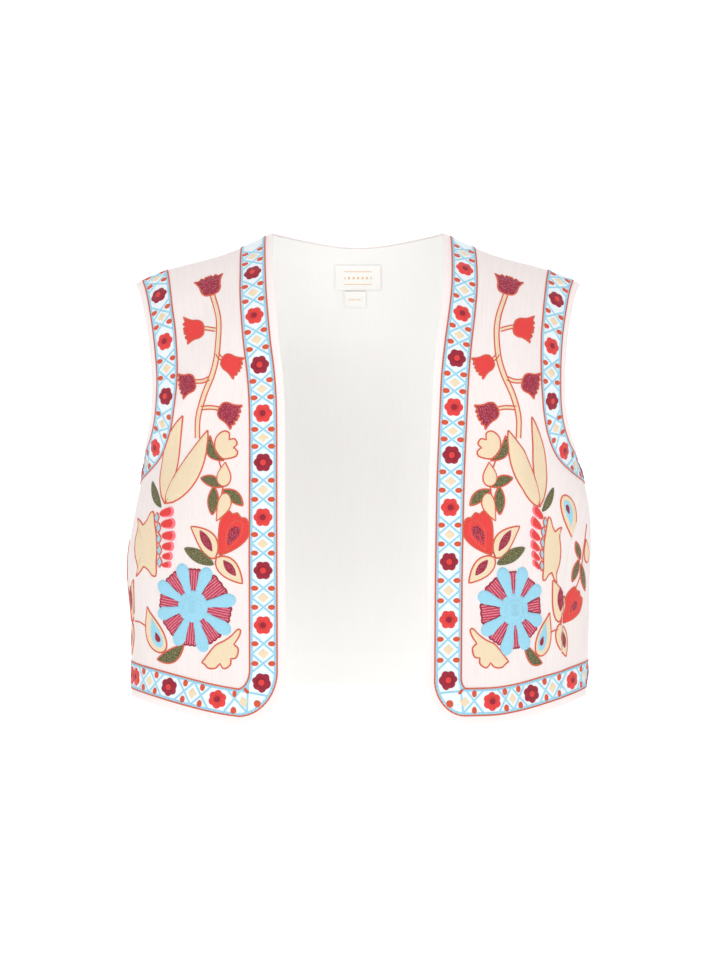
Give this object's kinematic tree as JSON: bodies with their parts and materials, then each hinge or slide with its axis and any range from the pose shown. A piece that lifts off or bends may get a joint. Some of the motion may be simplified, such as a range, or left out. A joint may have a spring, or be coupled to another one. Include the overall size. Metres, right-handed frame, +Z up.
{
  "type": "waistcoat",
  "caption": "Cropped, sleeveless, open-fronted waistcoat with rounded front corners and embroidered borders, hollow as worn, for dressing a figure.",
  "frame": {"origin": "midway between the two shoulders, at the height of the neck points, where the wearer's shoulders carry the garment", "axes": "+Z up; the fronts face -Y, so +Y is towards the wearer's back and +X is the wearer's left"},
  "size_m": [0.4375, 0.2319, 0.457],
  "materials": {
    "cloth": "pale pinkish off-white plain-weave cotton with raised thread embroidery in red, crimson, light blue, cream and olive",
    "lining": "smooth white plain-weave cotton lining",
    "label": "cream woven tape, bare of words"
  },
  "bodies": {
    "root": {"front_right": "cloth", "front_left": "cloth", "back": "cloth", "back_lining": "lining", "neck_label": "label", "size_tab": "label"}
  },
  "joints": []
}
